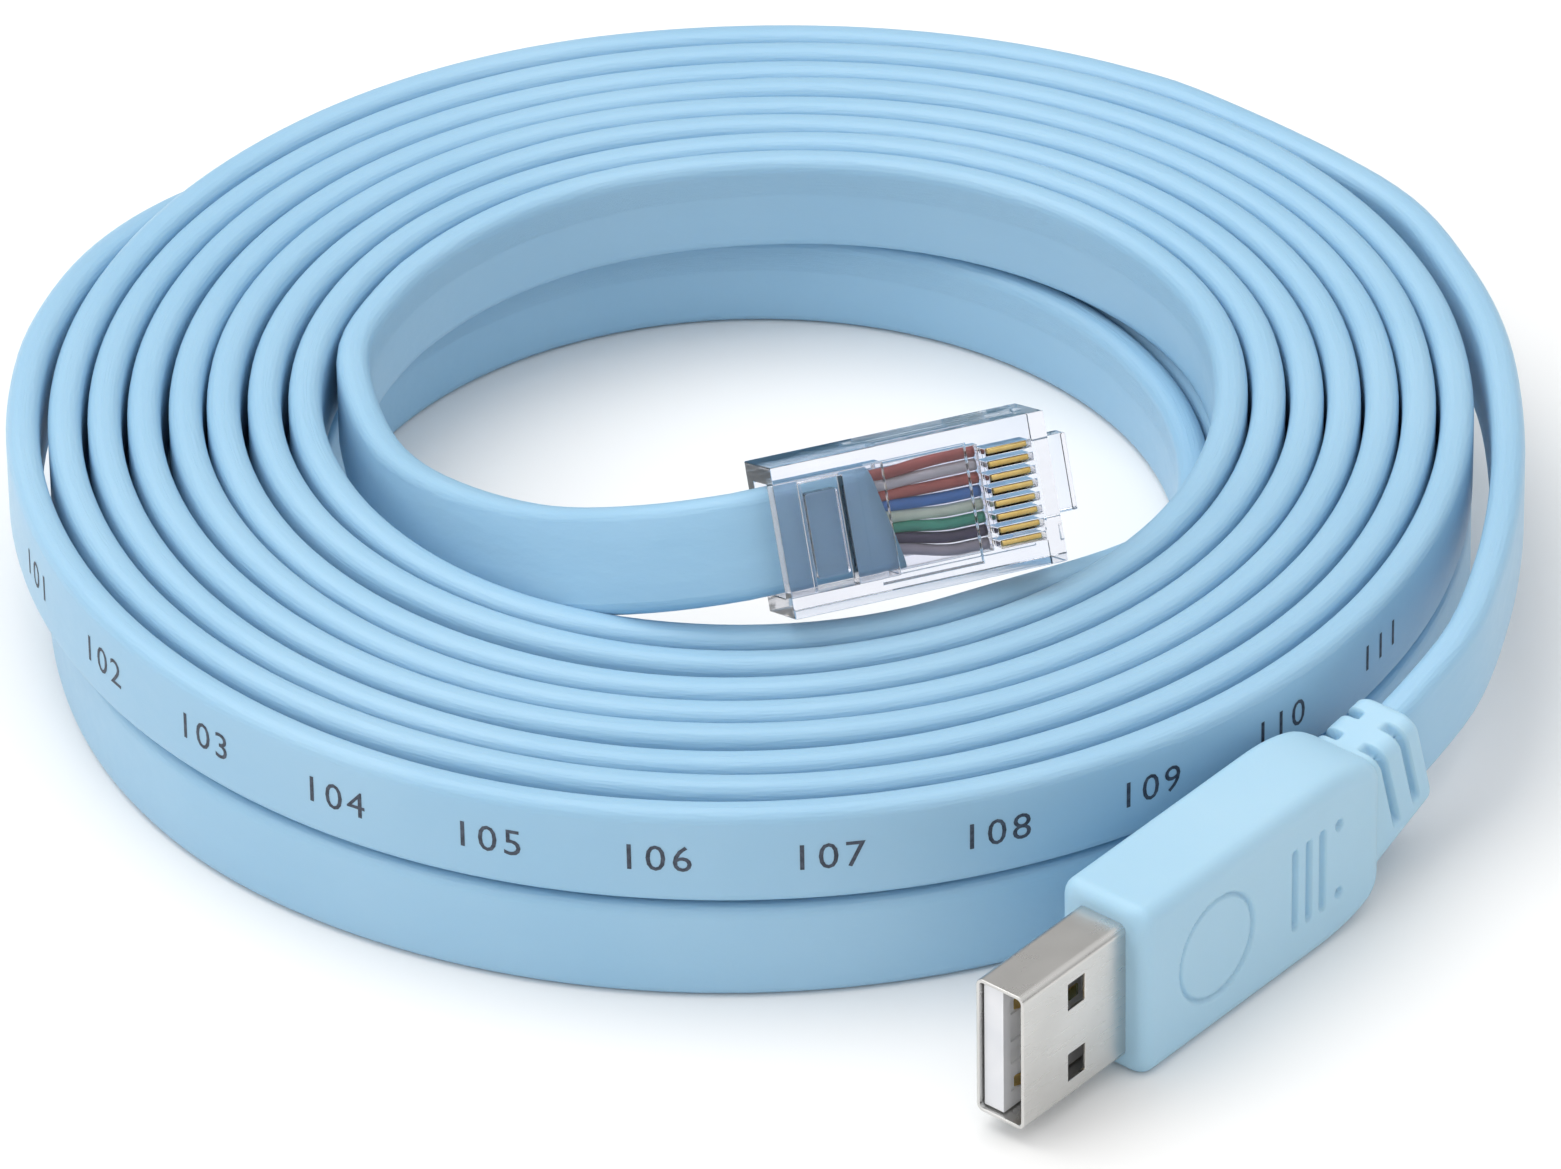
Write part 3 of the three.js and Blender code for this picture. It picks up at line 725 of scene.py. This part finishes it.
def make_usb_tongue():
    near = TONGUE_FAR_FACE - TONGUE_THICKNESS
    tongue = block("usb_white_tongue", (TONGUE_START, near, -TONGUE_HALF_HEIGHT),
                   (TONGUE_END, TONGUE_FAR_FACE, TONGUE_HALF_HEIGHT), usb_matrix)
    for place in USB_CONTACT_PLACES:
        low = (LANE_START, near - 1, place - LANE_HALF_HEIGHT)
        high = (LANE_END, near + LANE_DEPTH, place + LANE_HALF_HEIGHT)
        cut(tongue, block("lane", low, high, usb_matrix))
    soften(tongue, TONGUE_EDGE)
    return tongue


def make_usb_contact(index, place):
    """A gold strip whose front end dips into the tongue."""
    near = TONGUE_FAR_FACE - TONGUE_THICKNESS
    start = OUTER_CONTACT_START if index in (0, 3) else INNER_CONTACT_START
    section = rounded_section(USB_CONTACT_THICKNESS, USB_CONTACT_WIDTH, 0.08, 3)
    rings = []
    for x in np.linspace(start, USB_CONTACT_END, 24):
        dip_share = (start + USB_CONTACT_DIP_LENGTH - x) / USB_CONTACT_DIP_LENGTH
        dip = USB_CONTACT_DIP * float(smooth_step(dip_share))
        crown = USB_CONTACT_PROUD * math.sin((x - start) / (USB_CONTACT_END - start) * math.pi)
        height = near - USB_CONTACT_PROUD + dip - crown
        rings.append([(x, height + y, place + z) for y, z in section])
    return swept(f"usb_gold_contact_{index + 1}", rings, usb_matrix)


# RJ45 plug

CONTACT_SIDE = -RJ45_THICKNESS / 2
LATCH_SIDE = RJ45_THICKNESS / 2
BODY_EDGE = 0.12
SLOT_START, SLOT_END = 16.95, 20.6
SLOT_HALF_WIDTH = 0.3
SLOT_FLOOR = 0.35
CONTACT_START, CONTACT_END = 17.15, 20.4
CONTACT_HALF_WIDTH = 0.24
CONTACT_SUNK = 0.35
CONTACT_FOOT = 0.2
CONTACT_EDGE = 0.14
BAR_EDGE = 0.25
LATCH_HALF_WIDTH = 3
WIRE_RADIUS = 0.46
WIRE_END = 16.7
WIRES_FAN_OVER = 5.5
WIRES_START_CLOSER = 0.82
WIRES_START_LOWER = 0.35
WIRE_WAVE = 0.12


def lane(index):
    """The place of a contact and its wire across the plug's width, from the upper edge down."""
    return ((CONTACTS - 1) / 2 - index) * CONTACT_PITCH


def make_rj45_body():
    body = block("rj45_clear_body", (0, CONTACT_SIDE, -RJ45_WIDTH / 2),
                 (RJ45_LENGTH, LATCH_SIDE, RJ45_WIDTH / 2), rj45_matrix)
    cut(body, make_latch(), "UNION")
    hollows = {
        "jacket_entry": ((-1, -1.62, -4.4), (9.2, 1.62, 4.4)),
        "wire_channel": ((9.0, -0.75, -4.15), (16.9, 0.6, 4.15)),
        "bar_window": ((2.2, CONTACT_SIDE - 1, -4.2), (5.5, -1.5, 4.2)),
        "shallow_pocket": ((7.3, CONTACT_SIDE - 1, -4.6), (15.4, CONTACT_SIDE + 0.45, 4.6)),
        "latch_side_mark": ((9.5, LATCH_SIDE - 0.35, -4.8), (21, LATCH_SIDE + 0.05, -3.6)),
    }
    for name, (low, high) in hollows.items():
        cut(body, block(name, low, high, rj45_matrix))
    for index in range(CONTACTS):
        low = (SLOT_START, CONTACT_SIDE - 1, lane(index) - SLOT_HALF_WIDTH)
        high = (SLOT_END, SLOT_FLOOR, lane(index) + SLOT_HALF_WIDTH)
        cut(body, block("slot", low, high, rj45_matrix))
    soften(body, BODY_EDGE)
    return body


def make_latch():
    """The spring latch on the far side: a root past the nose and an arm that lifts to the rear."""
    outline = [
        (18, -1), (25.2, -1), (25.2, 1.1), (21, 1.1),
        (7, 4.2), (6.7, 3.1), (19.5, 0.2), (18, 0.2),
    ]
    rings = [[(x, LATCH_SIDE + out, z) for x, out in outline]
             for z in (-LATCH_HALF_WIDTH, LATCH_HALF_WIDTH)]
    return swept("latch", rings, rj45_matrix, smooth=False)


def make_pressed_bar():
    """The bar that is pressed down on the jacket in the plug's rear window."""
    return block("rj45_pressed_bar", (2.5, -2.9, -3.3), (5.2, -1.45, 3.3), rj45_matrix, BAR_EDGE, 3)


def make_rj45_contact(index):
    low = (CONTACT_START, CONTACT_SIDE + CONTACT_SUNK, lane(index) - CONTACT_HALF_WIDTH)
    high = (CONTACT_END, CONTACT_FOOT, lane(index) + CONTACT_HALF_WIDTH)
    return block(f"rj45_gold_contact_{index + 1}", low, high, rj45_matrix, CONTACT_EDGE, 4)


def make_wire(index):
    """A wire that fans out from the jacket's end to its contact."""
    start_z = lane(index) * WIRES_START_CLOSER + WIRES_START_LOWER
    around = np.linspace(0, 2 * math.pi, 15)[:-1]
    rings = []
    for x in np.linspace(JACKET_SEATED - 2, WIRE_END, 28):
        share = float(smooth_step((x - JACKET_SEATED) / WIRES_FAN_OVER))
        z = start_z + (lane(index) - start_z) * share
        y = WIRE_WAVE * math.sin(x * 1.1 + index * 1.7) * (1 - share) - 0.05
        rings.append([(x, y + WIRE_RADIUS * math.cos(a), z + WIRE_RADIUS * math.sin(a)) for a in around])
    return swept(f"rj45_insulated_wire_{index + 1}", rings, rj45_matrix)


# Materials

SKIN_RADIUS = (0.4, 0.7, 1.0)


class Nodes:
    """A small helper that adds nodes to one material."""

    def __init__(self, name):
        self.material = bpy.data.materials.new(name)
        self.material.use_nodes = True
        self.tree = self.material.node_tree
        self.shader = next(n for n in self.tree.nodes if n.type == "BSDF_PRINCIPLED")
        self.place = self.tree.nodes.new("ShaderNodeTexCoord").outputs["Object"]

    def link(self, source, target):
        self.tree.links.new(source, target)

    def set(self, **values):
        """Constants on the shader's own sockets."""
        for key, value in values.items():
            self.shader.inputs[key.replace("_", " ")].default_value = value

    def noise(self, scale, detail, roughness=0.5, coordinates=None):
        node = self.tree.nodes.new("ShaderNodeTexNoise")
        node.inputs["Scale"].default_value = scale
        node.inputs["Detail"].default_value = detail
        node.inputs["Roughness"].default_value = roughness
        self.link(coordinates or self.place, node.inputs["Vector"])
        return node.outputs["Fac"]

    def stretched(self, coordinates, scale):
        node = self.tree.nodes.new("ShaderNodeMapping")
        node.inputs["Scale"].default_value = scale
        self.link(coordinates, node.inputs["Vector"])
        return node.outputs["Vector"]

    def tint(self, value, dark, light, start=0.3, end=0.7):
        """A base colour that drifts between two shades."""
        node = self.tree.nodes.new("ShaderNodeValToRGB")
        for element, place, colour in zip(node.color_ramp.elements, (start, end), (dark, light)):
            element.position = place
            element.color = (*colour, 1)
        self.link(value, node.inputs["Fac"])
        self.link(node.outputs["Color"], self.shader.inputs["Base Color"])

    def roughness(self, value, low, high):
        """A roughness that drifts between two values."""
        node = self.tree.nodes.new("ShaderNodeMapRange")
        node.inputs["To Min"].default_value = low
        node.inputs["To Max"].default_value = high
        self.link(value, node.inputs["Value"])
        self.link(node.outputs["Result"], self.shader.inputs["Roughness"])

    def bump(self, height, distance, strength):
        node = self.tree.nodes.new("ShaderNodeBump")
        node.inputs["Distance"].default_value = distance
        node.inputs["Strength"].default_value = strength
        self.link(height, node.inputs["Height"])
        self.link(node.outputs["Normal"], self.shader.inputs["Normal"])


def jacket_material():
    nodes = Nodes("light_blue_jacket")
    along_cable = nodes.tree.nodes.new("ShaderNodeUVMap")
    along_cable.uv_map = "run"
    ripples = nodes.stretched(along_cable.outputs["UV"], (120, 14, 1))
    nodes.tint(nodes.noise(45, 3), dark=(0.30, 0.525, 0.715), light=(0.335, 0.555, 0.735))
    nodes.roughness(nodes.noise(900, 2), low=0.34, high=0.46)
    nodes.bump(nodes.noise(3, 4, coordinates=ripples), distance=0.00012, strength=0.5)
    nodes.set(Subsurface_Weight=0.12, Subsurface_Scale=0.002, Subsurface_Radius=SKIN_RADIUS,
              Specular_IOR_Level=0.5)
    return nodes.material


def overmould_material():
    nodes = Nodes("light_blue_overmould")
    nodes.tint(nodes.noise(60, 3), dark=(0.375, 0.60, 0.76), light=(0.405, 0.625, 0.775))
    nodes.roughness(nodes.noise(1500, 2), low=0.42, high=0.55)
    nodes.bump(nodes.noise(5200, 2), distance=0.00003, strength=0.35)
    nodes.set(Subsurface_Weight=0.15, Subsurface_Scale=0.002, Subsurface_Radius=SKIN_RADIUS)
    return nodes.material


def shell_material():
    nodes = Nodes("satin_nickel")
    grain = nodes.noise(1, 4, 0.6, nodes.stretched(nodes.place, (300, 300, 6000)))
    nodes.tint(nodes.noise(160, 2), dark=(0.60, 0.595, 0.58), light=(0.67, 0.665, 0.65))
    nodes.roughness(grain, low=0.22, high=0.36)
    nodes.bump(grain, distance=0.00002, strength=0.3)
    nodes.set(Metallic=1.0)
    return nodes.material


def gold_material():
    nodes = Nodes("gold_plate")
    nodes.tint(nodes.noise(700, 3), dark=(0.80, 0.55, 0.18), light=(0.92, 0.70, 0.30))
    nodes.roughness(nodes.noise(2500, 2), low=0.16, high=0.32)
    nodes.set(Metallic=1.0)
    return nodes.material


def tongue_material():
    nodes = Nodes("white_tongue")
    nodes.tint(nodes.noise(300, 2), dark=(0.76, 0.78, 0.82), light=(0.84, 0.85, 0.88))
    nodes.roughness(nodes.noise(2000, 2), low=0.38, high=0.5)
    return nodes.material


def clear_material():
    nodes = Nodes("clear_polycarbonate")
    nodes.tint(nodes.noise(220, 2), dark=(0.87, 0.875, 0.94), light=(0.92, 0.925, 0.97))
    nodes.roughness(nodes.noise(900, 3), low=0.02, high=0.07)
    nodes.bump(nodes.noise(420, 2), distance=0.00004, strength=0.25)
    nodes.set(Transmission_Weight=1.0, IOR=1.46)
    return nodes.material


# The name and the colour of each wire, from the plug's upper edge down
WIRES = [
    ("wire_brown_red", (0.42, 0.10, 0.085)),
    ("wire_light_grey", (0.62, 0.60, 0.62)),
    ("wire_red_brown", (0.47, 0.115, 0.09)),
    ("wire_blue", (0.05, 0.20, 0.55)),
    ("wire_pale_green", (0.66, 0.76, 0.60)),
    ("wire_green", (0.04, 0.36, 0.24)),
    ("wire_dark_purple", (0.05, 0.035, 0.09)),
    ("wire_grey_lilac", (0.40, 0.37, 0.43)),
]


def wire_material(index):
    nodes = Nodes(f"wire_insulation_{index + 1}")
    base = np.array(WIRES[index][1])
    nodes.tint(nodes.noise(500, 2), dark=base * 0.9, light=np.minimum(base * 1.15, 1))
    nodes.roughness(nodes.noise(1800, 2), low=0.3, high=0.42)
    return nodes.material


def print_material():
    nodes = Nodes("dark_grey_print")
    nodes.tint(nodes.noise(2200, 3), dark=(0.02, 0.03, 0.05), light=(0.07, 0.09, 0.13), start=0.35, end=0.75)
    nodes.set(Roughness=0.55)
    return nodes.material


def floor_material():
    nodes = Nodes("white_studio_floor")
    nodes.tint(nodes.noise(3, 2), dark=(0.90, 0.895, 0.89), light=(0.92, 0.915, 0.91))
    nodes.set(Roughness=0.7, Specular_IOR_Level=0.2)
    return nodes.material


def dress(piece, material):
    piece.data.materials.clear()
    piece.data.materials.append(material)
    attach(piece, "root")


# Floor and light

FLOOR_HALF_SIZE = 3000
FRONT_SKY = (1.0, 1.0, 1.0)
BACK_SKY = (0.46, 0.45, 0.44)
FRONT_SKY_ENDS, BACK_SKY_STARTS = 0.1, 0.95
HORIZON_STRENGTH, ZENITH_STRENGTH = 0.36, 1.28


def make_floor():
    far = FLOOR_HALF_SIZE
    corners = [(-far, -far, 0), (far, -far, 0), (far, far, 0), (-far, far, 0)]
    floor = mesh_object("studio_floor", corners, [(0, 1, 2, 3)], smooth=False)
    floor.data.materials.append(floor_material())


def make_sky():
    """A soft box of light: darker behind the object, and brighter overhead than at the horizon."""
    world = bpy.data.worlds.new("studio")
    bpy.context.scene.world = world
    world.use_nodes = True
    tree = world.node_tree
    background = next(n for n in tree.nodes if n.type == "BACKGROUND")
    direction = tree.nodes.new("ShaderNodeTexCoord")
    split = tree.nodes.new("ShaderNodeSeparateXYZ")
    tree.links.new(direction.outputs["Generated"], split.inputs["Vector"])
    fade = tree.nodes.new("ShaderNodeValToRGB")
    front, back = fade.color_ramp.elements
    front.position, back.position = FRONT_SKY_ENDS, BACK_SKY_STARTS
    front.color, back.color = (*FRONT_SKY, 1), (*BACK_SKY, 1)
    tree.links.new(split.outputs["Y"], fade.inputs["Fac"])
    tree.links.new(fade.outputs["Color"], background.inputs["Color"])
    height = tree.nodes.new("ShaderNodeMapRange")
    height.inputs["To Min"].default_value = HORIZON_STRENGTH
    height.inputs["To Max"].default_value = ZENITH_STRENGTH
    tree.links.new(split.outputs["Z"], height.inputs["Value"])
    tree.links.new(height.outputs["Result"], background.inputs["Strength"])
    bpy.context.scene.view_settings.view_transform = "Standard"


def add_light(name, place, size, power, colour):
    """A square light in metres and watts that faces the object's middle."""
    data = bpy.data.lights.new(name, "AREA")
    data.shape = "SQUARE"
    data.size = size
    data.energy = power
    data.color = colour
    light = bpy.data.objects.new(name, data)
    bpy.context.collection.objects.link(light)
    light.location = place
    light.rotation_euler = (-Vector(place)).to_track_quat("-Z", "Y").to_euler()


# Everything in its place

make_camera()
cable, line, run, thick, wide = make_cable()
dress(cable, jacket_material())
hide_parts("cable_coil", "usb_lead", "rj45_lead")

numbers = make_numbers(line, run, thick, wide)
dress(numbers, print_material())

overmould = join_rings("usb_moulded_body", [overmould_body(), relief_rings()], usb_matrix)
dress(overmould, overmould_material())
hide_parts("usb_overmould")

shell = make_usb_shell()
dress(shell, shell_material())
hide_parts("usb_shell")
tongue = make_usb_tongue()
dress(tongue, tongue_material())
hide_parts("usb_tongue")
gold = gold_material()
for index, place in enumerate(USB_CONTACT_PLACES):
    contact = make_usb_contact(index, place)
    dress(contact, gold)
    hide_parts(f"usb_contact_{index + 1}")

clear = clear_material()
rj45_body = make_rj45_body()
dress(rj45_body, clear)
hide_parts("rj45_body")
bar = make_pressed_bar()
dress(bar, clear)
rj45_pieces = [rj45_body, bar]
for index, (wire_slot, _) in enumerate(WIRES):
    contact = make_rj45_contact(index)
    dress(contact, gold)
    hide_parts(f"rj45_contact_{index + 1}")
    wire = make_wire(index)
    dress(wire, wire_material(index))
    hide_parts(f"rj45_wire_{index + 1}")
    rj45_pieces += [contact, wire]

make_floor()
make_sky()
add_light("over_light", (-0.3, 0.2, 0.8), size=0.8, power=3.6, colour=(1.0, 0.99, 0.97))
add_light("left_light", (-0.75, -0.35, 0.5), size=0.4, power=0.9, colour=(1.0, 1.0, 1.0))
